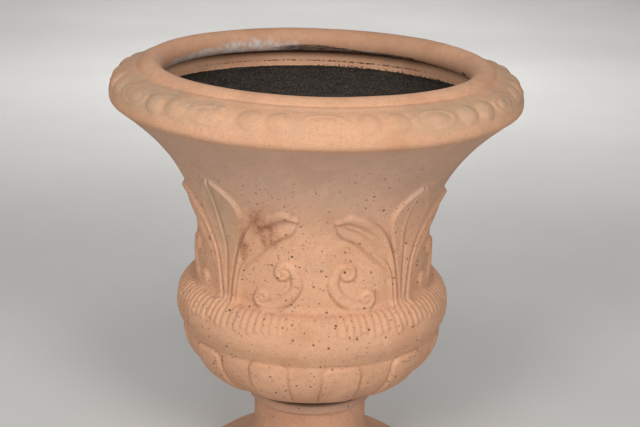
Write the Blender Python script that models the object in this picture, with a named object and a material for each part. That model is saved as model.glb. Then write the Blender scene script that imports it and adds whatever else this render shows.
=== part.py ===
"""A terracotta garden urn: a campana (bell-shaped) bowl standing dry on a hollow pedestal foot.

The bowl carries the rolled mouth, the sloping rim, the bell flare, the bulging shoulder ring and the
round lower bowl, and ends in a spigot that drops into the neck of the foot. A drain hole runs down
through the spigot into the hollow of the foot. The inside of the bowl is lined with a black sealing coat.
All three pieces are turned about the same upright axis. The origin is at the middle of the underside of
the foot, and +Z is up.
"""

from math import cos, hypot, pi, radians, sin

import bmesh
import bpy

# Driving dimensions, in metres.
RIM_RADIUS = 0.265      # underside of the rim's outer edge
RIM_HEIGHT = 0.538      # that edge above the ground
GAP = 0.0003            # between pieces that touch
SEGMENTS = 48           # facets around each turned piece
SHARP_ANGLE = 40        # in degrees: a bend tighter than this is shaded as an edge

# Everything else is in proportion to the rim's radius. Heights below are measured from the rim's edge.
ROLL_CENTRE = (0.812, 0.123)
ROLL_SIZE = (0.062, 0.064)
ROLL_CREASE = (0.862, 0.152)
ROLL_UNDERSIDE = (0.788, 0.060)
UNDERCUT = (0.868, 0.038)
UNDERCUT_SIZE = 0.022
RIM_CENTRE = (0.873, 0.026)
RIM_SIZE = (0.132, 0.122)
WALL = 0.060

BELL_WAIST_RADIUS = 0.580
BELL_WAIST_DEPTH = 0.750
BELL_CURVE = 2.4
SHOULDER_CENTRE = (0.585, -1.040)
SHOULDER_SIZE = (0.102, 0.132)
BASIN_CENTRE = -1.160
BASIN_SIZE = (0.645, 0.380)
CREVICE = (0.275, -1.510)
COLLAR_RADIUS = 0.315
COLLAR_TOP = -1.520
SEAT = -1.563
SPIGOT_RADIUS = 0.200
SPIGOT_LENGTH = 0.110
DRAIN_RADIUS = 0.050

INSIDE_WAIST = (0.508, -0.860)
INSIDE_BASIN_CENTRE = -1.110
INSIDE_BASIN_SIZE = (0.580, 0.310)

COAT_THICKNESS = 0.0015

SOCKET_PLAY = 0.0015
NECK_RADIUS = 0.289
NECK_BOTTOM = -1.680
FLARE_RADIUS = 0.520
FLARE_BOTTOM = -1.922
FLARE_CURVE = 3.1
FLARE_POINTS = 9
STEP_RADIUS = 0.536
STEP_BOTTOM = -1.942
BASE_RADIUS = 0.578
BASE_BOTTOM = -RIM_HEIGHT / RIM_RADIUS
BASE_ROUND = 0.030
FOOT_WALL = 0.062
HOLLOW_RADIUS = 0.490


def ellipse(centre, size, start, end, count):
    """Points on an upright ellipse, from angle start to angle end, where 0 is outward and 90 is up."""
    points = []
    for i in range(count + 1):
        angle = (start + (end - start) * i / count) * pi / 180
        points.append((centre[0] + size[0] * cos(angle), centre[1] + size[1] * sin(angle)))
    return points


def bell_radius(depth):
    """The outer radius of the bell at a depth below the rim's edge."""
    rise = max(0.0, 1 - depth / BELL_WAIST_DEPTH)
    return BELL_WAIST_RADIUS + (1 - BELL_WAIST_RADIUS) * rise ** BELL_CURVE


def bell_side(first, last, count):
    """The bell's outer side between two depths."""
    depths = [first + (last - first) * i / count for i in range(count + 1)]
    return [(bell_radius(depth), -depth) for depth in depths]


def offset(points, distance):
    """An open outline moved sideways, to the right of the way it runs."""
    moved = []
    for i, (r, z) in enumerate(points):
        before = points[max(i - 1, 0)]
        after = points[min(i + 1, len(points) - 1)]
        run = after[0] - before[0]
        drop = after[1] - before[1]
        length = hypot(run, drop)
        moved.append((r + distance * drop / length, z - distance * run / length))
    return moved


def bowl_outside():
    """The bowl's outer side, from the top of the mouth roll down to the seat on the foot."""
    outline = ellipse(ROLL_CENTRE, ROLL_SIZE, 90, 40, 2)
    outline.append(ROLL_CREASE)
    outline += ellipse(RIM_CENTRE, RIM_SIZE, 78, -10, 8)
    outline += bell_side(0.015, 0.70, 10)
    outline.append((bell_radius(0.88), -0.895))
    outline += ellipse(SHOULDER_CENTRE, SHOULDER_SIZE, 80, -46, 7)
    outline += ellipse((0, BASIN_CENTRE), BASIN_SIZE, 0, -63, 7)
    outline.append(CREVICE)
    outline.append((COLLAR_RADIUS, COLLAR_TOP))
    outline.append((COLLAR_RADIUS, SEAT))
    return outline


def bowl_inside():
    """The bowl's inner side, from the top of the drain hole up to the undercut below the mouth roll."""
    outline = ellipse((0, INSIDE_BASIN_CENTRE), INSIDE_BASIN_SIZE, -79, 22, 9)
    outline.append(INSIDE_WAIST)
    outline += offset(bell_side(0.74, 0.075, 8), -WALL)
    return outline


def bowl_profile():
    """The whole closed section of the bowl."""
    undercut = ellipse(UNDERCUT, (UNDERCUT_SIZE, UNDERCUT_SIZE), -50, 140, 3)
    lip = [ROLL_UNDERSIDE] + ellipse(ROLL_CENTRE, ROLL_SIZE, 215, 112, 4)
    spigot_bottom = SEAT - SPIGOT_LENGTH
    spigot = [(SPIGOT_RADIUS, SEAT), (SPIGOT_RADIUS, spigot_bottom)]
    drain = [(DRAIN_RADIUS, spigot_bottom), (DRAIN_RADIUS, bowl_inside()[0][1])]
    return bowl_outside() + spigot + drain + bowl_inside() + undercut + lip


def coat_profile():
    """The closed section of the sealing coat, which follows the bowl's inner side."""
    against_clay = offset(bowl_inside(), -GAP / RIM_RADIUS)
    exposed = offset(bowl_inside(), -(GAP + COAT_THICKNESS) / RIM_RADIUS)
    return against_clay[::-1] + exposed


def foot_profile():
    """The closed section of the foot: neck, flare, step and base ring outside, hollow inside."""
    seat = SEAT - GAP / RIM_RADIUS
    socket_radius = SPIGOT_RADIUS + SOCKET_PLAY / RIM_RADIUS
    outline = [(NECK_RADIUS, seat)]
    for i in range(FLARE_POINTS + 1):
        t = i / FLARE_POINTS
        radius = NECK_RADIUS + (FLARE_RADIUS - NECK_RADIUS) * t ** FLARE_CURVE
        outline.append((radius, NECK_BOTTOM + (FLARE_BOTTOM - NECK_BOTTOM) * t))
    hollow_side = offset(outline[2:], FOOT_WALL)[::-1]
    outline.append((STEP_RADIUS, FLARE_BOTTOM))
    outline.append((STEP_RADIUS, STEP_BOTTOM))
    base_centre = (BASE_RADIUS - BASE_ROUND, STEP_BOTTOM - BASE_ROUND)
    outline += ellipse(base_centre, (BASE_ROUND, BASE_ROUND), 90, 0, 4)
    outline.append((BASE_RADIUS, BASE_BOTTOM))
    hollow = [(HOLLOW_RADIUS, BASE_BOTTOM)]
    hollow += [point for point in hollow_side if socket_radius < point[0] < HOLLOW_RADIUS]
    socket = [(socket_radius, hollow[-1][1]), (socket_radius, seat)]
    return outline + hollow + socket


def material(name, colour, roughness):
    """A plain dielectric material."""
    made = bpy.data.materials.new(name)
    made.use_nodes = True
    shader = made.node_tree.nodes["Principled BSDF"]
    shader.inputs["Base Color"].default_value = (*colour, 1)
    shader.inputs["Roughness"].default_value = roughness
    shader.inputs["Metallic"].default_value = 0
    return made


def turned(name, profile, finish):
    """A piece turned about the upright axis from its closed section."""
    shape = bmesh.new()
    corners = [shape.verts.new((r * RIM_RADIUS, 0, RIM_HEIGHT + z * RIM_RADIUS)) for r, z in profile]
    sides = [shape.edges.new((corners[i - 1], corners[i])) for i in range(len(corners))]
    bmesh.ops.spin(shape, geom=corners + sides, cent=(0, 0, 0), axis=(0, 0, 1),
                   angle=2 * pi, steps=SEGMENTS, use_merge=True)
    bmesh.ops.recalc_face_normals(shape, faces=shape.faces)
    mesh = bpy.data.meshes.new(name)
    shape.to_mesh(mesh)
    shape.free()
    mesh.shade_smooth()
    mesh.set_sharp_from_angle(angle=radians(SHARP_ANGLE))
    mesh.materials.append(finish)
    piece = bpy.data.objects.new(name, mesh)
    bpy.context.scene.collection.objects.link(piece)
    return piece


def lift_guide():
    """An empty at the seat, on the line along which the bowl lifts off its foot."""
    guide = bpy.data.objects.new("bowl_seat", None)
    guide.location = (0, 0, RIM_HEIGHT + SEAT * RIM_RADIUS)
    bpy.context.scene.collection.objects.link(guide)
    bpy.context.view_layer.update()
    return guide


def ride_on(guide, piece):
    """Parent a piece to the guide without moving it."""
    piece.parent = guide
    piece.matrix_parent_inverse = guide.matrix_world.inverted()


def main():
    for item in list(bpy.data.objects):
        bpy.data.objects.remove(item)
    terracotta = material("terracotta_bowl", (0.72, 0.40, 0.24), 0.9)
    foot_clay = material("terracotta_foot", (0.68, 0.37, 0.22), 0.9)
    bitumen = material("black_sealing_coat", (0.022, 0.019, 0.017), 0.6)
    bowl = turned("urn_bowl", bowl_profile(), terracotta)
    coat = turned("sealant_coat", coat_profile(), bitumen)
    turned("pedestal_foot", foot_profile(), foot_clay)
    guide = lift_guide()
    ride_on(guide, bowl)
    ride_on(guide, coat)


main()
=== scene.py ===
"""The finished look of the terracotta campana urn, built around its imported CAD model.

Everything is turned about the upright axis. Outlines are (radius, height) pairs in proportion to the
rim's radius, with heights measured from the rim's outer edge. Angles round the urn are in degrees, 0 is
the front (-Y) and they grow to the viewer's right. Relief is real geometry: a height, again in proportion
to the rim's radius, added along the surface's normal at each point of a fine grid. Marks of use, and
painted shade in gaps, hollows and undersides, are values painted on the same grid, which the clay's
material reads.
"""

import bpy
import numpy as np
from mathutils import Matrix, Vector


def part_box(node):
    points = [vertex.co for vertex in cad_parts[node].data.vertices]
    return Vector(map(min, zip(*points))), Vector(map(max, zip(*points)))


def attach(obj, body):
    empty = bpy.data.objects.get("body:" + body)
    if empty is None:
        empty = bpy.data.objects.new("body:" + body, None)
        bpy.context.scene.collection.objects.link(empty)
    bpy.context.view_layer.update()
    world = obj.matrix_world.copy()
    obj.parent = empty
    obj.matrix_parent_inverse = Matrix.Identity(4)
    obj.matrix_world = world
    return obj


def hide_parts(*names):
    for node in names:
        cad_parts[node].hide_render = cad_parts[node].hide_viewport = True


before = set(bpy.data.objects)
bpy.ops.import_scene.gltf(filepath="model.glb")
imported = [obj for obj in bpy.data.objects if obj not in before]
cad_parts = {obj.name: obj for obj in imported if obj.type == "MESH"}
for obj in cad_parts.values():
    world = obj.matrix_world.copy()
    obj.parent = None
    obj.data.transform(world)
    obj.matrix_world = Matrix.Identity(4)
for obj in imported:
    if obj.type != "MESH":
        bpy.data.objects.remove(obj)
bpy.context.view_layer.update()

# Sizes read from the frame, in metres. WIDEST and ROLL_TOP are in proportion to the rim's radius.
WIDEST = 1.005          # the rim's widest radius, a little above its lower edge
RIM_RADIUS = (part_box("urn_bowl")[1].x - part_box("urn_bowl")[0].x) / 2 / WIDEST
ROLL_TOP = 0.187        # the top of the roll round the mouth
RIM_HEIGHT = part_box("urn_bowl")[1].z - ROLL_TOP * RIM_RADIUS
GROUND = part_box("pedestal_foot")[0].z

# Outline of the bowl.
ROLL_CENTRE = (0.812, 0.123)
ROLL_SIZE = (0.062, 0.064)
UNDERCUT_CENTRE = (0.868, 0.038)
UNDERCUT_SIZE = 0.022
RIM_CENTRE = (0.873, 0.026)
RIM_SIZE = (0.132, 0.122)
WALL = 0.060
WAIST_RADIUS = 0.580
WAIST_DEPTH = 0.750
BELL_CURVE = 2.4
SHOULDER_CENTRE = (0.585, -1.040)
SHOULDER_SIZE = (0.102, 0.132)
BASIN_CENTRE = -1.160
BASIN_SIZE = (0.645, 0.380)
COLLAR_RADIUS = 0.315
SEAT = -1.563
SPIGOT = (0.200, -1.673)
DRAIN_RADIUS = 0.050
INSIDE_BASIN_CENTRE = -1.110
INSIDE_BASIN_SIZE = (0.580, 0.310)
INSIDE_WAIST = (0.508, -0.860)
GAP = 0.0003 / RIM_RADIUS               # between pieces that touch
COAT_THICKNESS = 0.0015 / RIM_RADIUS
LEAN = 0.008                            # how much higher the mouth is on the left than in the middle

# Outline of the foot.
NECK = (0.289, -1.680)
FLARE = (0.520, -1.922)
FLARE_CURVE = 3.1
STEP = (0.536, -1.942)
BASE_RADIUS = 0.578
BASE_ROUND = 0.030
FOOT_WALL = 0.062
HOLLOW_RADIUS = 0.490                   # of the open hollow, at the ground
CEILING_RADIUS = 0.212                  # where the hollow's ceiling meets the socket
SOCKET_RADIUS = SPIGOT[0] + 0.0015 / RIM_RADIUS

# Layout of the relief: how often each ornament repeats round the urn, the angle of one of them, and the
# lowest and highest point of the bands that hold them.
SPRAYS = 4
SPRAY_ANGLE = 46.3
PANELS = 11
PANEL_ANGLE = -19.0
TONGUES = 112
RIM_REPEATS = 12
OVAL_ANGLE = 2.0
ORNAMENT_TILT = 41                      # degrees above level, on the rim's curve
SPRAY_BAND = (-0.93, -0.24)
BLADE_RADIUS = 0.61                     # the bell's radius for which the side leaves are drawn
FRINGE_BAND = (-1.09, -0.895)
PANEL_TOP = -1.150
PANEL_FADE = (-1.445, -1.385)           # the panels sink into the basin between these two
PANEL_HALF_ANGLE = 8.8
CREASE_RADIUS = 0.878                   # of the crease between the roll and the rim

# Heights of the relief, and the half-sizes of the rim's ornament along the rim and across it.
LEAF_HEIGHT = 0.021
SCROLL_HEIGHT = 0.0185
TONGUE_HEIGHT = 0.0080
PANEL_HEIGHT = 0.0095
OVAL_HEIGHT = 0.0095
OVAL_SIZE = (0.116, 0.054)
BEAD_HEIGHT = 0.0145
BEAD_SIZE = (0.060, 0.055)
BEAD_SPACING = 0.128                    # between the middles of the two beads of a pair

# Points round the circumference of each mesh.
BOWL_COLUMNS = 960
FOOT_COLUMNS = 360
COAT_COLUMNS = 720

# Colours.
BOWL_CLAY = (0.618, 0.351, 0.216)
FOOT_CLAY = (0.560, 0.315, 0.200)
PALE_SPECK = (0.78, 0.60, 0.46)
TINY_PIT = (0.17, 0.095, 0.060)
PIT = (0.075, 0.045, 0.030)
LARGE_PIT = (0.060, 0.040, 0.028)
# Painted shade, with some dirt, for the hollows, under the basin and on the back of the roll.
SHADE_AND_DIRT = (0.25, 0.135, 0.085)
# Painted shade: a cool grey for the rim's underside and the low basin.
COOL_SHADE_GREY = (0.42, 0.33, 0.28)
OLIVE_DUST = (0.38, 0.29, 0.19)
SOOT = (0.25, 0.215, 0.18)
BROWN_STAIN = (0.27, 0.098, 0.045)
CHALK = (0.60, 0.555, 0.52)
BLACK_SMEAR = (0.026, 0.021, 0.018)
BLACK_FLECK = (0.022, 0.018, 0.015)
# Painted shade for the narrow gaps above the collar and under the roll.
PAINTED_GAP_SHADE = (0.020, 0.011, 0.007)
COAT_BLACK = (0.012, 0.010, 0.008)
COAT_STREAK = (0.030, 0.024, 0.019)
COAT_GRAIN = (0.105, 0.078, 0.055)
COAT_BLOTCH = (0.060, 0.046, 0.036)
COAT_DUST = (0.34, 0.25, 0.17)
FLOOR_PALE = (0.62, 0.605, 0.58)
FLOOR_PALER = (0.66, 0.645, 0.62)


# ---------------------------------------------------------------- small maths

def smooth_step(x, low, high):
    """0 below low, 1 above high, and smooth between."""
    t = np.clip((x - low) / (high - low), 0, 1)
    return t * t * (3 - 2 * t)


def hump(x, half_width):
    """1 at x = 0, falling smoothly to 0 at half_width on both sides."""
    return np.cos(np.clip(x / half_width, -1, 1) * np.pi / 2) ** 2


def columns_round(count):
    """Evenly spaced angles all the way round, starting at the back."""
    return np.linspace(-180, 180, count, endpoint=False)


def fold(angle, centre, repeats):
    """Signed angle to the nearest of equally spaced centres, and the number of that centre."""
    pitch = 360 / repeats
    number = np.round((angle - centre) / pitch)
    return angle - centre - number * pitch, number.astype(int) % repeats


def wobble(angle, height, seed, waves=5):
    """A smooth wandering value between about -1 and 1, that closes on itself round the urn."""
    random = np.random.default_rng(seed)
    total = np.zeros(np.broadcast(angle, height).shape)
    for _ in range(waves):
        turns = random.integers(1, 9)
        rise = random.uniform(-9, 9)
        total += np.sin(np.radians(angle) * turns + height * rise + random.uniform(0, 2 * np.pi))
    return total / waves


def per_item(number, seed, count):
    """A steady random value from -1 to 1 for each numbered item."""
    return np.random.default_rng(seed).uniform(-1, 1, count)[number % count]


def spline(points, count):
    """A smooth curve through a few points."""
    p = np.array([points[0], *points, points[-1]], float)
    spans = len(points) - 1
    u = np.linspace(0, spans, count)
    i = np.minimum(u.astype(int), spans - 1)
    t = (u - i)[:, None]
    a, b, c, d = p[i], p[i + 1], p[i + 2], p[i + 3]
    return 0.5 * (2 * b + (c - a) * t + (2 * a - 5 * b + 4 * c - d) * t**2
                  + (3 * b - a - 3 * c + d) * t**3)


def nearest(curve, x, y):
    """Distance from each point to a curve, which side it lies on, and how far along it (0 to 1)."""
    best = np.full(x.shape, 1e9)
    side = np.zeros(x.shape)
    along = np.zeros(x.shape)
    spans = len(curve) - 1
    for i in range(spans):
        start = curve[i]
        run = curve[i + 1] - start
        t = np.clip(((x - start[0]) * run[0] + (y - start[1]) * run[1]) / (run @ run), 0, 1)
        dx = x - start[0] - t * run[0]
        dy = y - start[1] - t * run[1]
        gap = np.hypot(dx, dy)
        closer = gap < best
        best = np.where(closer, gap, best)
        side = np.where(closer, np.sign(run[0] * dy - run[1] * dx), side)
        along = np.where(closer, (i + t) / spans, along)
    return best, side, along


# ---------------------------------------------------------------- outlines

def ellipse(centre, size, start, end, count):
    """Points on an upright ellipse, where angle 0 is outward and 90 is up."""
    angle = np.radians(np.linspace(start, end, count))
    return np.stack([centre[0] + size[0] * np.cos(angle), centre[1] + size[1] * np.sin(angle)], 1)


def line(start, end, count):
    """Evenly spaced points from start up to, but without, end."""
    t = np.linspace(0, 1, count, endpoint=False)[:, None]
    return np.array(start) * (1 - t) + np.array(end) * t


def bend(start, corner, end, count):
    """A rounded corner, tangent to both of its sides."""
    t = np.linspace(0, 1, count)[:, None]
    a, b, c = np.array(start), np.array(corner), np.array(end)
    return (1 - t) ** 2 * a + 2 * t * (1 - t) * b + t**2 * c


def bell_radius(height):
    """The outer radius of the bell."""
    rise = np.clip(1 + height / WAIST_DEPTH, 0, None)
    return WAIST_RADIUS + (1 - WAIST_RADIUS) * rise**BELL_CURVE


def bell_side(first, last, count):
    """The bell's outer side between two heights."""
    height = np.linspace(first, last, count)
    return np.stack([bell_radius(height), height], 1)


def directions(points):
    """The unit direction of an open outline at each of its points."""
    run = np.gradient(points, axis=0)
    return run / np.linalg.norm(run, axis=1)[:, None]


def offset(points, distance):
    """An open outline moved to the right of the way it runs."""
    way = directions(points)
    return points + distance * np.stack([way[:, 1], -way[:, 0]], 1)


def way_along(points):
    """The distance along an outline from its first point to each of its points, as a column."""
    steps = np.hypot(*np.diff(points, axis=0).T)
    return np.concatenate([[0], np.cumsum(steps)])[:, None]


def bowl_outside():
    """The bowl's outer side, from the top of the roll down to the seat on the foot."""
    seat_corner = (COLLAR_RADIUS, SEAT)
    return np.concatenate([
        ellipse(ROLL_CENTRE, ROLL_SIZE, 90, 36, 14),
        bend((0.8635, 0.1575), (0.8670, 0.1495), (0.8765, 0.1490), 6),
        ellipse(RIM_CENTRE, RIM_SIZE, 85, -2, 62),
        bend((1.0045, 0.0170), (1.0020, -0.0010), (0.9830, -0.0130), 9),
        bell_side(-0.020, -0.235, 20),
        bell_side(-0.242, -0.866, 108),
        bend((0.5795, -0.872), (0.5790, -0.908), (0.6160, -0.9145), 11),
        ellipse(SHOULDER_CENTRE, SHOULDER_SIZE, 70, 12, 28),
        ellipse(SHOULDER_CENTRE, SHOULDER_SIZE, 6, -24, 10),
        bend((0.6765, -1.0985), (0.6620, -1.1300), (0.6452, -1.1620), 10),
        ellipse((0, BASIN_CENTRE), BASIN_SIZE, -1.2, -14, 12),
        ellipse((0, BASIN_CENTRE), BASIN_SIZE, -15.5, -61, 33),
        bend((0.3050, -1.4960), (0.276, -1.506), (0.2800, -1.5120), 5),
        bend((0.288, -1.5155), (0.3145, -1.5170), (COLLAR_RADIUS, -1.526), 6),
        line((COLLAR_RADIUS, -1.532), (COLLAR_RADIUS, SEAT + 0.010), 4),
        bend((COLLAR_RADIUS, SEAT + 0.006), seat_corner, (COLLAR_RADIUS - 0.006, SEAT), 4),
    ])


def bowl_inside():
    """The bowl's inner side, from the drain hole up to the undercut below the roll."""
    basin = ellipse((0, INSIDE_BASIN_CENTRE), INSIDE_BASIN_SIZE, -79, 18, 19)
    waist = bend((0.545, -1.004), (0.510, -0.960), INSIDE_WAIST, 7)
    bell = offset(bell_side(-0.75, -0.075, 20), -WALL)
    return np.concatenate([basin, waist, bell])


def undercut():
    """The bare strip of clay above the coat, and the hollow behind the roll."""
    curl = ellipse(UNDERCUT_CENTRE, (UNDERCUT_SIZE, UNDERCUT_SIZE), -50, 130, 8)
    bare_wall = line(bowl_inside()[-1], curl[0], 14)[1:]
    return np.concatenate([bare_wall, curl])


def bowl_profile():
    """The bowl's whole closed section."""
    floor_height = bowl_inside()[0][1]
    spigot_radius, spigot_bottom = SPIGOT
    return np.concatenate([
        bowl_outside(),
        line((COLLAR_RADIUS - 0.012, SEAT), (spigot_radius, SEAT), 3),
        line((spigot_radius, SEAT), (spigot_radius, spigot_bottom), 3),
        line((spigot_radius, spigot_bottom), (DRAIN_RADIUS, spigot_bottom), 3),
        line((DRAIN_RADIUS, spigot_bottom), (DRAIN_RADIUS, floor_height), 4),
        bowl_inside(),
        undercut(),
        bend((0.843, 0.0555), (0.792, 0.0600), (0.7705, 0.0755), 10),
        ellipse(ROLL_CENTRE, ROLL_SIZE, 222, 95, 20),
    ])


def foot_profile():
    """The foot's whole closed section: neck, flare, step and base ring, and the hollow inside."""
    neck, neck_bottom = NECK
    flare, flare_bottom = FLARE
    step, step_bottom = STEP
    base, hollow, socket = BASE_RADIUS, HOLLOW_RADIUS, SOCKET_RADIUS
    seat = SEAT - GAP
    bottom = (GROUND - RIM_HEIGHT) / RIM_RADIUS
    t = np.linspace(0, 1, 40)
    side_radius = neck + (flare - neck) * t**FLARE_CURVE
    side_height = neck_bottom + (flare_bottom - neck_bottom) * t
    side = np.stack([side_radius, side_height], 1)
    inner = offset(side[3:], FOOT_WALL)[::-1]
    inner = inner[(inner[:, 0] > CEILING_RADIUS) & (inner[:, 0] < hollow - 0.004)]
    return np.concatenate([
        bend((neck - 0.007, seat), (neck, seat), (neck, seat - 0.007), 4),
        line((neck, seat - 0.012), side[0], 9),
        side[:-1],
        bend((flare, flare_bottom + 0.002), (flare + 0.002, flare_bottom), (step - 0.008, flare_bottom), 4),
        bend((step - 0.005, flare_bottom), (step, flare_bottom), (step, flare_bottom - 0.005), 4),
        bend((step, step_bottom + 0.006), (step, step_bottom), (step + 0.005, step_bottom), 4),
        ellipse((base - BASE_ROUND, step_bottom - BASE_ROUND), (BASE_ROUND, BASE_ROUND), 88, 2, 10),
        line((base, step_bottom - BASE_ROUND - 0.004), (base, bottom + 0.010), 5),
        bend((base, bottom + 0.006), (base, bottom), (base - 0.006, bottom), 4),
        line((base - 0.012, bottom), (hollow + 0.006, bottom), 3),
        bend((hollow + 0.004, bottom), (hollow, bottom), (hollow, bottom + 0.004), 3),
        inner,
        line((socket, inner[-1][1]), (socket, seat), 5),
        line((socket, seat), (neck - 0.007, seat), 3),
    ])


# ---------------------------------------------------------------- relief

def main_leaf(x, height):
    """The tall pointed leaf of a spray: dished halves on both sides of a winding midrib groove.

    x is the distance from the spray's middle. The outline gives half of the leaf's width at each height.
    """
    half = np.array([(-0.92, 0.028), (-0.85, 0.033), (-0.75, 0.048), (-0.65, 0.071), (-0.56, 0.098),
                     (-0.50, 0.121), (-0.44, 0.130), (-0.39, 0.118), (-0.34, 0.083), (-0.30, 0.036),
                     (-0.283, 0.0)])
    outline = spline(half, 90)
    width = np.interp(height, outline[:, 0], outline[:, 1], right=0)
    slope = np.gradient(outline[:, 1], outline[:, 0])
    steep = np.hypot(1, np.interp(height, outline[:, 0], slope))
    inset = (width - np.abs(x)) / steep
    inset = np.where(height > half[-1, 0], -1.0, inset)
    share = np.clip(np.abs(x) / np.maximum(width, 1e-4), 0, 1)
    dish = 0.60 + 0.40 * share**2
    face = LEAF_HEIGHT * dish * smooth_step(inset, -0.001, 0.013)
    midrib = 0.016 * np.sin((height + 0.30) * 9) * smooth_step(height, -0.75, -0.5)
    groove = 0.018 * hump(x - midrib, 0.0085) * smooth_step(height, -0.89, -0.80)
    ridge = 0.004 * hump(x - midrib + 0.016, 0.016) * smooth_step(height, -0.70, -0.50)
    inside = smooth_step(inset, 0.0, 0.008)
    return face + (ridge - groove) * inside


def side_leaf(x, height, ribbed):
    """A leaf that rises beside the main one and droops outward, with a thick rim round a hollow.

    Gives its height, and how far inside its outline each point lies. Its lower part is a grooved stem.
    """
    middle = spline([(0.056, -0.93), (0.060, -0.86), (0.074, -0.76), (0.107, -0.68), (0.162, -0.605),
                     (0.215, -0.545), (0.275, -0.498), (0.335, -0.468), (0.380, -0.452)], 46)
    gap, side, along = nearest(middle, x, height)
    width = 0.027 + 0.046 * smooth_step(along, 0.22, 0.60)
    width = width * np.sqrt(np.clip(1 - np.clip((along - 0.80) / 0.21, 0, 1) ** 3.0, 0.10, 1))
    share = np.clip(gap / width, 0, 1.5)
    inset = width - gap
    body = smooth_step(inset, -0.001, 0.018 - 0.008 * side)
    opened = smooth_step(along, 0.28, 0.50)
    rim = smooth_step(share, 0.06, 0.60) * (0.85 + 0.15 * side)
    rib = ribbed * hump(gap - side * 0.004, 0.018) * smooth_step(along, 0.42, 0.60)
    hollow = 0.004 + 0.019 * rim + 0.010 * rib * (1 - smooth_step(along, 0.86, 0.97))
    stem = 0.020 - 0.015 * hump(gap, 0.007) * (1 - smooth_step(along, 0.45, 0.60))
    return body * (stem * (1 - opened) + hollow * opened), inset


def scroll_curve():
    """The middle line of a C-scroll, as (angle outward from the gap's middle, height)."""
    degrees_per_radius = np.degrees(1 / WAIST_RADIUS)

    def volute(centre, start, turn, outer):
        t = np.linspace(0, 1, 44)
        angle = np.radians(start + turn * t)
        radius = outer * (1 - 0.85 * t**0.8)
        return np.stack([centre[0] + radius * np.cos(angle) * degrees_per_radius,
                         centre[1] + radius * np.sin(angle)], 1)

    upper = volute((14.5, -0.716), 150, -430, 0.046)[::-1]
    lower = volute((24.5, -0.848), -90, 430, 0.044)
    back = spline([upper[-1], (8.7, -0.733), (8.5, -0.785), (12.4, -0.843), (18.0, -0.882), lower[0]], 46)
    return np.concatenate([upper[:-1], back, lower[1:]])


def scroll(out, height):
    """A low rounded band along the C-scroll. out is the angle outward from the gap's middle."""
    curve = scroll_curve()
    curve = np.stack([np.radians(curve[:, 0]) * WAIST_RADIUS, curve[:, 1]], 1)
    gap, _, along = nearest(curve, np.radians(out) * WAIST_RADIUS, height)
    back = smooth_step(along, 0.26, 0.42) * (1 - smooth_step(along, 0.58, 0.74))
    width = 0.0162 + 0.0105 * back
    return SCROLL_HEIGHT * np.sqrt(np.clip(1 - (gap / width) ** 2, 0, 1)) ** 0.8


def bell_relief(angle, height):
    """Leaf sprays with pairs of scrolls between them, on the lower half of the bell."""
    from_spray, number = fold(angle, SPRAY_ANGLE, SPRAYS)
    from_spray = from_spray + 0.5 * wobble(angle, height * 1.5, 3)
    lift = 0.012 * per_item(number, 8, SPRAYS)
    height = height - lift * smooth_step(height, -0.75, -0.35)
    radius = bell_radius(height)
    x = np.radians(from_spray) * radius
    leaf = main_leaf(x, height)
    ribbed = from_spray < 0
    blade, blade_inset = side_leaf(np.abs(x) * BLADE_RADIUS / radius, height, ribbed)
    blade_top = smooth_step(blade_inset, -0.012, -0.002)
    shade = 0.009 * blade_top * (1 - smooth_step(blade_inset, -0.002, 0.006)) * (leaf > 0.004)
    spray = np.where(blade_inset < 0, leaf, np.maximum(blade, leaf * (1 - blade_top))) - shade
    from_gap = 360 / SPRAYS / 2 - np.abs(from_spray)
    scrolls = scroll(from_gap, height)
    low = smooth_step(height, -0.925, -0.895)
    return np.where(np.abs(spray) > 0.0015, spray, scrolls) * low


def fringe_relief(angle, run):
    """Short round-ended tongues lying over the top of the shoulder. run is the way down from its top."""
    uneven = 0.50 * wobble(angle * 3, run * 2, 23, 6) + 0.35 * wobble(angle * 7, run * 3, 24, 6)
    place, number = fold(angle + uneven, 0, TONGUES)
    across = np.abs(place) / (180 / TONGUES)
    half = 0.0175
    end = 0.152 + 0.014 * per_item(number, 21, TONGUES)
    inset = np.where(run < end - half, half * (1 - across),
                     half - np.hypot(across * half, run - end + half))
    worn = 0.62 + 0.26 * smooth_step(np.abs(angle), 5, 32) + 0.30 * wobble(angle * 2, run, 25, 6)
    worn = worn * (1 - 0.35 * smooth_step(np.abs(angle), 42, 66))
    worn = np.clip(worn + 0.25 * per_item(number, 22, TONGUES), 0.20, 1.3)
    tongue = TONGUE_HEIGHT * worn * smooth_step(inset, 0.0005, 0.0120)
    return (tongue - 0.0035 * worn) * smooth_step(run, 0.010, 0.05) * (1 - smooth_step(run, 0.170, 0.195))


def panel_relief(angle, run, radius):
    """Raised gadroon panels with rounded upper corners, on the basin. run is the way down its side."""
    place, number = fold(angle + 0.4 * wobble(angle, run, 31), PANEL_ANGLE, PANELS)
    place = place + 0.7 * per_item(number, 32, PANELS)
    across = np.abs(np.radians(place)) * radius
    half = np.radians(PANEL_HALF_ANGLE + 0.4 * per_item(number, 33, PANELS)) * radius
    corner = 0.050
    top = 0.004 + 0.006 * per_item(number, 34, PANELS)
    corner_x = np.maximum(across - (half - corner), 0)
    corner_y = np.maximum(corner - (run - top), 0)
    inset = corner - np.hypot(corner_x, corner_y)
    crown = 0.002 * (1 - np.clip(across / half, 0, 1) ** 2)
    worn = 0.90 + 0.20 * smooth_step(np.abs(angle), 12, 40)
    raised = (PANEL_HEIGHT * worn + crown) * smooth_step(inset, -0.001, 0.012)
    groove = 0.0075 * worn * hump(inset + 0.003, 0.008)
    return raised - groove


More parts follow.
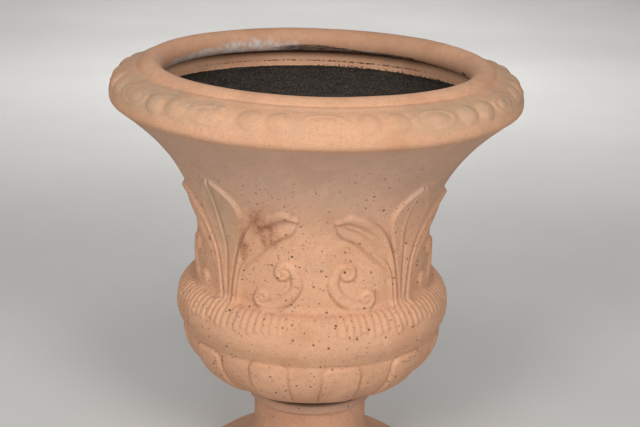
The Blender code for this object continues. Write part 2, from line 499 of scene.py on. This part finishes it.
def rim_relief(angle, run):
    """Worn ovals and pairs of beads along the rim's curve. run is the way down it from their middle."""
    place, _ = fold(angle + 0.3 * wobble(angle, run, 41), OVAL_ANGLE, RIM_REPEATS)
    radius = RIM_CENTRE[0] + RIM_SIZE[0] * np.cos(np.radians(ORNAMENT_TILT))
    x = np.radians(place) * radius
    oval = np.hypot(x / OVAL_SIZE[0], run / OVAL_SIZE[1])
    ring = 0.0050 * hump(oval - 0.85, 0.24)
    dome = OVAL_HEIGHT * np.clip(1 - (oval / 0.72) ** 2, 0, 1) ** 0.9
    from_pair = np.radians(180 / RIM_REPEATS - np.abs(place)) * radius
    bead = np.hypot((np.abs(from_pair) - BEAD_SPACING / 2) / BEAD_SIZE[0], run / BEAD_SIZE[1])
    beads = BEAD_HEIGHT * np.clip(1 - bead**2, 0, 1) ** 0.9
    worn = 0.84 + 0.32 * wobble(angle * 2, run * 2, 42, 6)
    lumps = 0.0016 * wobble(angle * 9, run * 4, 43, 8) + 0.0010 * wobble(angle * 20, run * 8, 44, 8)
    return (ring + dome + beads) * worn + lumps


def relief(profile, angle):
    """The height of the bowl's ornament at every point of the grid of profile points and angles."""
    height = np.zeros((len(profile), len(angle)))
    radius_of = profile[:, 0]
    z_of = profile[:, 1]
    outer = np.arange(len(profile)) < len(bowl_outside())
    a = angle[None, :]

    rim = outer & (radius_of > RIM_CENTRE[0]) & (z_of > 0)
    upward = (z_of[rim] - RIM_CENTRE[1]) / RIM_SIZE[1]
    outward = (radius_of[rim] - RIM_CENTRE[0]) / RIM_SIZE[0]
    tilt = np.arctan2(upward, outward)
    run = (np.radians(ORNAMENT_TILT) - tilt)[:, None] * sum(RIM_SIZE) / 2
    height[rim] += rim_relief(a, run)

    crease = outer & (z_of > 0.1)
    fill = 0.008 * hump(radius_of[crease] - CREASE_RADIUS, 0.034)[:, None]
    height[crease] += fill * (0.25 + 0.75 * hump(a, 80))

    bell = outer & (z_of < SPRAY_BAND[1]) & (z_of > SPRAY_BAND[0])
    every_angle, every_height = np.broadcast_arrays(a, z_of[bell][:, None])
    height[bell] += bell_relief(every_angle, every_height)

    shoulder = outer & (z_of <= FRINGE_BAND[1]) & (z_of > FRINGE_BAND[0])
    height[shoulder] += fringe_relief(a, way_along(profile[shoulder]))

    basin = outer & (z_of <= PANEL_TOP)
    fade = smooth_step(z_of[basin], *PANEL_FADE)[:, None]
    height[basin] += panel_relief(a, way_along(profile[basin]), radius_of[basin][:, None]) * fade
    return height


def soften(height, passes):
    """Wear the relief down a little, as an old mould does."""
    for _ in range(passes):
        height = (np.roll(height, 1, 1) + 2 * height + np.roll(height, -1, 1)) / 4
        height[1:-1] = (height[:-2] + 2 * height[1:-1] + height[2:]) / 4
    return height


# ---------------------------------------------------------------- meshes

def turned(name, profile, around, height=None, leaning=1.0):
    """A closed piece turned about the upright axis, with its surface raised by height where given.

    around is how many points lie round it. leaning is 0 for a piece that doesn't share the mouth's lean.
    """
    angle = columns_round(around)
    loop = np.concatenate([profile[-1:], profile, profile[:1]])
    way = loop[2:] - loop[:-2]
    way /= np.linalg.norm(way, axis=1)[:, None]
    normal = np.stack([-way[:, 1], way[:, 0]], 1)
    rise = np.zeros((len(profile), around)) if height is None else height
    radius = profile[:, :1] + rise * normal[:, :1]
    up = profile[:, 1:] + rise * normal[:, 1:]
    turn = np.radians(angle)[None, :]
    up = up - leaning * LEAN * np.sin(turn) * smooth_step(profile[:, 1:], -0.80, 0.05)
    points = np.stack([radius * np.sin(turn), -radius * np.cos(turn), up], 2)
    points = points * RIM_RADIUS + np.array([0, 0, RIM_HEIGHT])
    rows, columns = np.meshgrid(np.arange(len(profile)), np.arange(around), indexing="ij")
    below = (rows + 1) % len(profile)
    beside = (columns + 1) % around
    faces = np.stack([rows * around + columns, below * around + columns,
                      below * around + beside, rows * around + beside], 2)
    mesh = bpy.data.meshes.new(name)
    mesh.from_pydata(points.reshape(-1, 3), [], faces.reshape(-1, 4))
    mesh.shade_smooth()
    piece = bpy.data.objects.new(name, mesh)
    bpy.context.scene.collection.objects.link(piece)
    return piece


def paint(piece, name, values):
    """Store one value for each point of a piece, for its material to read."""
    layer = piece.data.attributes.new(name, "FLOAT", "POINT")
    layer.data.foreach_set("value", np.ascontiguousarray(values, np.float32).ravel())


def blob(angle, height, centre, size):
    """A soft round patch. centre and size are each an angle and a height."""
    away = (angle - centre[0] + 180) % 360 - 180
    return np.exp(-(((away / size[0]) ** 2 + ((height - centre[1]) / size[1]) ** 2) ** 1.5))


# ---------------------------------------------------------------- materials

class Surface:
    """A node material under construction, with short calls for the nodes it uses."""

    def __init__(self, name):
        self.material = bpy.data.materials.new(name)
        self.material.use_nodes = True
        self.tree = self.material.node_tree
        self.shader = self.tree.nodes["Principled BSDF"]
        self.place = self.tree.nodes.new("ShaderNodeTexCoord").outputs["Object"]

    def plug(self, socket, value):
        """Link another node's output to a socket, or set the socket's own value."""
        if isinstance(value, bpy.types.NodeSocket):
            self.tree.links.new(value, socket)
        elif isinstance(value, tuple) and len(value) == 3 and socket.type == "RGBA":
            socket.default_value = (*value, 1)
        else:
            socket.default_value = value

    def noise(self, scale, detail=4.0, roughness=0.55, stretch=None):
        """Cloudy noise. Where stretch is given, it is finer along the axes with the larger factors."""
        node = self.tree.nodes.new("ShaderNodeTexNoise")
        where = self.place if stretch is None else self.stretched(stretch)
        self.plug(node.inputs["Vector"], where)
        self.plug(node.inputs["Scale"], scale)
        self.plug(node.inputs["Detail"], detail)
        self.plug(node.inputs["Roughness"], roughness)
        return node.outputs["Fac"]

    def stretched(self, factors):
        """The place on the piece, multiplied along each axis."""
        node = self.tree.nodes.new("ShaderNodeMapping")
        self.plug(node.inputs["Vector"], self.place)
        self.plug(node.inputs["Scale"], factors)
        return node.outputs["Vector"]

    def maths(self, operation, a, b=0.0, c=0.0):
        """One sum on up to three values."""
        node = self.tree.nodes.new("ShaderNodeMath")
        node.operation = operation
        for socket, value in zip(node.inputs, (a, b, c)):
            self.plug(socket, value)
        return node.outputs[0]

    def between(self, value, low, high, start=0.0, end=1.0):
        """start where value is below low, end where it is above high, and smooth between."""
        node = self.tree.nodes.new("ShaderNodeMapRange")
        node.interpolation_type = "SMOOTHSTEP"
        for socket, given in zip(node.inputs, (value, low, high, start, end)):
            self.plug(socket, given)
        return node.outputs[0]

    def mix(self, amount, a, b):
        """Colour a where amount is 0, and colour b where it is 1."""
        node = self.tree.nodes.new("ShaderNodeMix")
        node.data_type = "RGBA"
        for socket, value in zip((node.inputs[0], node.inputs[6], node.inputs[7]), (amount, a, b)):
            self.plug(socket, value)
        return node.outputs[2]

    def lay(self, colour, amount, share, tint):
        """A tint laid over a colour. share is how much of it covers where amount is 1."""
        return self.mix(self.maths("MULTIPLY", amount, share), colour, tint)

    def stored(self, name):
        """A value painted on the piece's points."""
        node = self.tree.nodes.new("ShaderNodeAttribute")
        node.attribute_name = name
        return node.outputs["Fac"]

    def dots(self, scale, share, smallest, largest):
        """Scattered round dots: the share of the cells that hold one, and their radii as part of a cell."""
        cells = self.tree.nodes.new("ShaderNodeTexVoronoi")
        self.plug(cells.inputs["Vector"], self.place)
        self.plug(cells.inputs["Scale"], scale)
        split = self.tree.nodes.new("ShaderNodeSeparateColor")
        self.tree.links.new(cells.outputs["Color"], split.inputs[0])
        radius = self.between(split.outputs[1], 0.0, 1.0, smallest, largest)
        chosen = self.maths("LESS_THAN", split.outputs[0], share)
        near = self.maths("SUBTRACT", radius, cells.outputs["Distance"])
        dot = self.between(near, 0.0, (smallest + largest) / 6)
        return self.maths("MULTIPLY", dot, chosen)

    def bump(self, height, strength, distance, below=None):
        """Fine unevenness of the surface, on top of the unevenness given as below."""
        node = self.tree.nodes.new("ShaderNodeBump")
        self.plug(node.inputs["Height"], height)
        self.plug(node.inputs["Strength"], strength)
        self.plug(node.inputs["Distance"], distance)
        if below is not None:
            self.plug(node.inputs["Normal"], below)
        return node.outputs["Normal"]


def terracotta(name, clay, painted):
    """Unglazed fired clay: mottled, finely grained and pitted. painted adds the bowl's stored marks."""
    s = Surface(name)
    pale = tuple(min(1.0, c * 1.12 + 0.015) for c in clay)
    deep = (clay[0] * 0.80, clay[1] * 0.70, clay[2] * 0.62)
    grey = (clay[0] * 0.80, clay[1] * 0.90, clay[2] * 1.02)
    colour = s.mix(s.between(s.noise(9, 3), 0.40, 0.68), clay, pale)
    colour = s.lay(colour, s.between(s.noise(17, 5), 0.48, 0.70), 0.60, deep)
    colour = s.lay(colour, s.between(s.noise(31, 5), 0.50, 0.72), 0.45, grey)
    colour = s.lay(colour, s.between(s.noise(130, 5, 0.75), 0.42, 0.70), 0.34, deep)
    grain = s.noise(430, 4, 0.8)
    colour = s.mix(s.between(grain, 0.38, 0.66, 0.05, 0.62), colour, deep)
    density = s.stored("pitted")
    tiny = s.maths("MULTIPLY", s.dots(230, 0.34, 0.12, 0.30), density)
    pits = s.maths("MULTIPLY", s.dots(112, 0.46, 0.10, 0.21), density)
    large = s.maths("MULTIPLY", s.dots(60, 0.14, 0.09, 0.17), density)
    colour = s.lay(colour, s.dots(210, 0.07, 0.08, 0.17), 0.55, PALE_SPECK)
    colour = s.lay(colour, tiny, 0.60, TINY_PIT)
    colour = s.lay(colour, pits, 0.90, PIT)
    colour = s.lay(colour, large, 0.92, LARGE_PIT)
    if painted:
        colour = painted_marks(s, colour)
    s.plug(s.shader.inputs["Base Color"], colour)
    s.plug(s.shader.inputs["Roughness"], s.between(s.noise(60, 3), 0.3, 0.7, 0.80, 0.95))
    s.plug(s.shader.inputs["Specular IOR Level"], 0.25)
    soft = s.bump(s.noise(30, 4, 0.5), 0.35, 0.0020)
    sandy = s.bump(grain, 0.35, 0.0006, soft)
    holes = s.maths("ADD", s.maths("ADD", tiny, pits), large)
    s.plug(s.shader.inputs["Normal"], s.bump(s.maths("MULTIPLY", holes, -1.0), 0.8, 0.0012, sandy))
    return s.material


def painted_marks(s, colour):
    """The marks of use and the painted shade, laid over the clay where the bowl's stored values say."""
    rough_edge = s.noise(75, 6, 0.65)
    fine_edge = s.noise(330, 4, 0.7)
    brushed_edge = s.noise(60, 5, 0.65, (1.0, 1.0, 9.0))

    def patch(name, low, high, edge):
        """A stored patch with a frayed edge: nothing below low, and full above high."""
        frayed = s.maths("ADD", s.stored(name), s.maths("MULTIPLY_ADD", edge, 1.3, -0.65))
        return s.between(frayed, low, high)

    # Painted shade, with some dirt, in the hollows of the relief; painted shade under the basin and on the
    # back of the roll.
    colour = s.lay(colour, s.stored("hollow"), 0.55, SHADE_AND_DIRT)
    # Painted shade: a cool grey tint under the rim and low on the basin.
    colour = s.lay(colour, s.stored("cool_shade"), 0.40, COOL_SHADE_GREY)
    colour = s.lay(colour, patch("dust", 0.05, 1.25, rough_edge), 0.62, OLIVE_DUST)
    colour = s.lay(colour, patch("soot", 0.30, 0.90, rough_edge), 0.50, SOOT)
    mottled = s.between(s.noise(66, 7, 0.75), 0.40, 0.60, 0.30, 1.0)
    stain = s.maths("MULTIPLY", patch("stain", 0.10, 0.95, rough_edge), mottled)
    colour = s.lay(colour, stain, 0.78, BROWN_STAIN)
    worn_through = s.between(s.noise(85, 7, 0.75), 0.40, 0.60, 0.22, 1.0)
    chalk = s.maths("MULTIPLY", patch("chalk", 0.22, 0.95, rough_edge), worn_through)
    colour = s.lay(colour, chalk, 0.80, CHALK)
    streaks = s.between(s.noise(70, 4, 0.6, (1.0, 1.0, 11.0)), 0.40, 0.58, 0.55, 1.0)
    smear = s.maths("MULTIPLY", patch("smear", 0.34, 0.74, brushed_edge), streaks)
    colour = s.lay(colour, smear, 0.95, BLACK_SMEAR)
    colour = s.lay(colour, patch("flecks", 0.46, 0.58, fine_edge), 0.93, BLACK_FLECK)
    # Painted shade, near black, in the narrow gaps above the collar and under the roll.
    return s.lay(colour, s.stored("gap"), 0.96, PAINTED_GAP_SHADE)


def bitumen(name):
    """A brushed black coat: dull, finely grained, with warm dusty specks."""
    s = Surface(name)
    streaks = s.noise(26, 5, 0.6, (1.0, 1.0, 14.0))
    blotches = s.noise(30, 4)
    grain = s.noise(620, 2, 0.6)
    colour = s.mix(s.between(streaks, 0.35, 0.75), COAT_BLACK, COAT_STREAK)
    colour = s.lay(colour, s.between(grain, 0.48, 0.68), 0.75, COAT_GRAIN)
    colour = s.lay(colour, s.between(blotches, 0.55, 0.78), 0.22, COAT_BLOTCH)
    colour = s.lay(colour, s.dots(330, 0.10, 0.08, 0.18), 0.8, COAT_DUST)
    s.plug(s.shader.inputs["Base Color"], colour)
    s.plug(s.shader.inputs["Roughness"], s.between(blotches, 0.3, 0.7, 0.62, 0.80))
    s.plug(s.shader.inputs["Specular IOR Level"], 0.22)
    brushed = s.bump(streaks, 0.5, 0.0008)
    s.plug(s.shader.inputs["Normal"], s.bump(grain, 0.35, 0.0006, brushed))
    return s.material


def floor_finish():
    """A plain pale matt floor with the faintest mottling."""
    s = Surface("studio_floor")
    colour = s.mix(s.between(s.noise(1.6, 3), 0.35, 0.7), FLOOR_PALE, FLOOR_PALER)
    s.plug(s.shader.inputs["Base Color"], colour)
    s.plug(s.shader.inputs["Roughness"], 0.85)
    return s.material


# ---------------------------------------------------------------- pieces

def paint_bowl(piece, profile, a, z, outer, ornament):
    """Say where the bowl is shaded, dusty, stained, pitted, chalky or smeared with black.

    a and z are the angles and heights of its points, and outer says which of them are on its outer side.
    """
    radius = profile[:, :1]
    lip = (radius < 0.83) * (z > 0.05)
    behind = smooth_step(np.abs(a), 110, 150)

    # Painted shade, with some dirt, darkens the hollows of the relief; painted shade alone darkens under
    # the basin and the back of the roll.
    deep = np.clip((soften(ornament, 6) - ornament - 0.0012) / 0.0060, 0, 1) * outer
    under_basin_shade = 0.45 * smooth_step(-z, 1.40, 1.50) * outer * (radius > 0.27)
    dirty = 1 + 0.6 * blob(a, z, (52, -0.60), (20, 0.36))
    paint(piece, "hollow", np.clip(deep + under_basin_shade + 0.45 * behind * lip, 0, 1) * dirty)

    # Painted shade: near-black colour in the narrow gaps above the collar and under the roll, where shadow
    # falls.
    collar_gap_shade = smooth_step(-z, 1.480, 1.496) * (1 - smooth_step(-z, 1.5135, 1.5175))
    collar_gap_shade = collar_gap_shade * outer * (radius < 0.35)
    shade_start = 0.044 - 0.016 * hump(np.abs(a) - 95, 35)
    roll_gap_shade = smooth_step(z - shade_start, 0, 0.008) * (1 - smooth_step(z, 0.066, 0.074))
    roll_gap_shade = roll_gap_shade * (radius > 0.772) * ~outer
    paint(piece, "gap", collar_gap_shade + roll_gap_shade)

    # Painted shade: a cool grey tint under the rim and low on the basin, which face away from the light;
    # and pits, which are fewer on the rim.
    cool_shade = smooth_step(-z, 0.004, 0.03) * (1 - smooth_step(-z, 0.20, 0.62)) * outer
    cool_shade = cool_shade + 0.55 * smooth_step(-z, 1.24, 1.48) * outer
    paint(piece, "cool_shade", np.broadcast_to(cool_shade, ornament.shape))
    patchy = 0.62 + 0.38 * smooth_step(wobble(a * 2, z * 1.5, 51), -0.5, 0.4)
    paint(piece, "pitted", patchy * (0.16 + 0.84 * smooth_step(-z, 0.06, 0.24)) * outer)

    # A brown-red stain beside the left leaf, dust on the rim and left of the stain, and patches of soot.
    stain = blob(a, z, (-19.5, -0.53), (5.0, 0.065)) + 0.8 * blob(a, z, (-33, -0.59), (2.8, 0.11))
    paint(piece, "stain", (stain + 0.66 * blob(a, z, (-22, -0.45), (9, 0.085))) * outer)
    on_rim = (0.42 + 0.40 * smooth_step(wobble(a, z * 2, 61), -0.6, 0.6)) * smooth_step(z, 0.02, 0.07)
    on_rim = on_rim * (0.45 + 0.55 * smooth_step(np.abs(a + 5), 10, 32)) * smooth_step(radius, 0.86, 0.90)
    paint(piece, "dust", (0.80 * blob(a, z, (-43, -0.48), (10, 0.19)) + on_rim) * outer)
    soot = 0.5 * blob(a, z, (-38, 0.13), (22, 0.04)) + 0.5 * blob(a, z, (62, 0.12), (10, 0.05))
    paint(piece, "soot", (soot + 0.40 * blob(a, z, (-33, -0.62), (5, 0.08))) * outer)

    # Chalk and black on the inner side of the roll, at the back and beside it.
    chalk = blob(a, z, (-152, 0.104), (21, 0.042)) + 1.1 * blob(a, z, (-122, 0.084), (34, 0.030))
    paint(piece, "chalk", (chalk + 0.45 * blob(a, z, (168, 0.080), (34, 0.020))) * lip)
    smear = 1.1 * blob(a, z, (-177, 0.088), (15, 0.022)) + 0.80 * blob(a, z, (152, 0.079), (26, 0.013))
    paint(piece, "smear", (smear + 0.8 * blob(a, z, (104, 0.090), (4, 0.020))) * lip)

    # Black flecks above the coat's edge, and a dotted line of black above them at the back.
    edge_strength = 0.30 + 0.22 * smooth_step(a, 80, 150)
    edge_width = 0.020 + 0.012 * smooth_step(a, 90, 150)
    dotted = 0.56 * hump(z + 0.002, 0.0095) * behind
    flecks = edge_strength * hump(z + 0.030, edge_width) + dotted
    paint(piece, "flecks", flecks * ~outer * (radius > 0.84))


def make_bowl():
    """The bowl with all of its relief and marks."""
    profile = bowl_profile()
    angle = columns_round(BOWL_COLUMNS)
    ornament = soften(relief(profile, angle), 1)
    z = profile[:, 1:]
    a = angle[None, :]
    outer = (np.arange(len(profile)) < len(bowl_outside()))[:, None]
    uneven = 0.0022 * wobble(a, z * 1.2, 11) + 0.0008 * wobble(a * 3, z * 6, 12, 7)
    uneven = uneven * smooth_step(profile[:, :1], 0.33, 0.40)
    piece = turned("terracotta_bowl", profile, BOWL_COLUMNS, ornament + uneven)

    paint_bowl(piece, profile, a, z, outer, ornament)
    piece.data.materials.append(terracotta("fired_clay_bowl", BOWL_CLAY, True))
    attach(piece, "bowl")
    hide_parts("urn_bowl")


def make_foot():
    """The separate pedestal foot, turned a little unevenly where it shows."""
    profile = foot_profile()
    a = columns_round(FOOT_COLUMNS)[None, :]
    z = profile[:, 1:]
    exposed = smooth_step(-z, 1.60, 1.66) * (1 - smooth_step(-z, 1.93, 1.96)) * (profile[:, :1] > 0.28)
    uneven = 0.0018 * wobble(a, z * 2, 71) * exposed
    piece = turned("terracotta_foot", profile, FOOT_COLUMNS, uneven, leaning=0.0)
    paint(piece, "pitted", 0.30 + 0.20 * wobble(a, z * 2, 72))
    piece.data.materials.append(terracotta("fired_clay_foot", FOOT_CLAY, False))
    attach(piece, "pedestal")
    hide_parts("pedestal_foot")


def brush_line(angle):
    """The ragged edge that a brush leaves round the urn: how far each angle is above or below its mean."""
    random = np.random.default_rng(91)
    total = np.zeros(angle.shape)
    for k in range(1, 40):
        height = random.uniform(0.3, 1) / k**0.55
        phase = random.uniform(0, 6.28)
        total += height * np.sin(np.radians(angle) * k * 7 + phase)
    return total / 6


def make_coat():
    """The black coat inside the bowl, ragged along its upper edge."""
    lining = bowl_inside()
    wall_side = offset(lining, -GAP)
    open_side = offset(lining, -GAP - COAT_THICKNESS)
    top = bend(open_side[-1], (wall_side[-1] + open_side[-1]) / 2 + (0.002, 0.004), wall_side[-1], 5)
    profile = np.concatenate([wall_side[::-1], open_side, top[1:-1]])
    piece = turned("black_coat", profile, COAT_COLUMNS)

    # Slide the points near the top edge up or down along the wall.
    points = np.empty(len(piece.data.vertices) * 3)
    piece.data.vertices.foreach_get("co", points)
    points = points.reshape(len(profile), COAT_COLUMNS, 3)
    angle = columns_round(COAT_COLUMNS)[None, :]
    near_top = smooth_step(profile[:, 1:], -0.16, -0.033)
    slide = (0.0016 * brush_line(angle) - 0.0012) * near_top
    outward, upward = lining[-1] - lining[-3]
    wall_length = np.hypot(outward, upward)
    turn = np.radians(angle)
    points[:, :, 0] += slide * outward / wall_length * np.sin(turn)
    points[:, :, 1] -= slide * outward / wall_length * np.cos(turn)
    points[:, :, 2] += slide * upward / wall_length
    piece.data.vertices.foreach_set("co", points.ravel())

    piece.data.materials.append(bitumen("black_bitumen"))
    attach(piece, "bowl")
    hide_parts("sealant_coat")


# ---------------------------------------------------------------- studio

def make_floor():
    """A wide pale floor."""
    reach = 14.0
    corners = [(-reach, -reach), (reach, -reach), (reach, reach), (-reach, reach)]
    mesh = bpy.data.meshes.new("studio_floor")
    mesh.from_pydata([(x, y, GROUND) for x, y in corners], [], [(0, 1, 2, 3)])
    mesh.materials.append(floor_finish())
    floor = bpy.data.objects.new("studio_floor", mesh)
    bpy.context.scene.collection.objects.link(floor)


def make_light(name, place, target, size, power, spread=180):
    """A square soft box aimed at a point. Its power is in watts and its spread in degrees."""
    lamp = bpy.data.lights.new(name, "AREA")
    lamp.shape = "SQUARE"
    lamp.size = size
    lamp.energy = power
    lamp.spread = np.radians(spread)
    soft_box = bpy.data.objects.new(name, lamp)
    soft_box.location = place
    soft_box.rotation_euler = (Vector(target) - Vector(place)).to_track_quat("-Z", "Y").to_euler()
    bpy.context.scene.collection.objects.link(soft_box)


def make_studio():
    """Soft light from both front sides, weak light from the top and the back, and a pale surround."""
    middle = (0, 0, RIM_HEIGHT * 0.7)
    make_light("left_soft_box", (-1.05, -2.2, 1.55), middle, 0.8, 30.5)
    make_light("right_soft_box", (1.05, -2.2, 1.55), middle, 0.8, 30.5)
    make_light("top_soft_box", (0, -1.6, 2.4), middle, 1.2, 14)
    make_light("floor_soft_box", (0, 3.4, 3.4), (0, 3.4, 0), 3.0, 27, spread=75)
    make_light("back_soft_box", (0, 2.8, 1.3), middle, 1.2, 13)
    world = bpy.data.worlds.new("surround")
    world.use_nodes = True
    background = world.node_tree.nodes["Background"]
    background.inputs["Color"].default_value = (0.95, 0.97, 1.0, 1)
    background.inputs["Strength"].default_value = 0.26
    bpy.context.scene.world = world
    bpy.context.scene.view_settings.view_transform = "Standard"


def make_camera():
    """The camera: in front of the urn, above its rim, looking down into it.

    distance and above_rim are in proportion to the rim's radius.
    """
    distance = 6.666
    above_rim = 1.554
    down = np.radians(17.92)
    aside = np.radians(0.2606)
    lean = np.radians(1.3535)
    forward = Vector((np.sin(aside) * np.cos(down), np.cos(aside) * np.cos(down), -np.sin(down)))
    level = Vector((np.cos(aside), -np.sin(aside), 0))
    upright = level.cross(forward)
    right = level * np.cos(lean) + upright * np.sin(lean)
    up = upright * np.cos(lean) - level * np.sin(lean)
    lens = bpy.data.cameras.new("camera")
    lens.sensor_width = 36
    lens.lens = 78.5
    camera = bpy.data.objects.new("camera", lens)
    turn = Matrix((right, up, -forward)).transposed().to_4x4()
    place = Vector((0, -distance * RIM_RADIUS, RIM_HEIGHT + above_rim * RIM_RADIUS))
    camera.matrix_world = Matrix.Translation(place) @ turn
    bpy.context.scene.collection.objects.link(camera)
    bpy.context.scene.camera = camera


make_camera()
make_studio()
make_floor()
make_bowl()
make_foot()
make_coat()
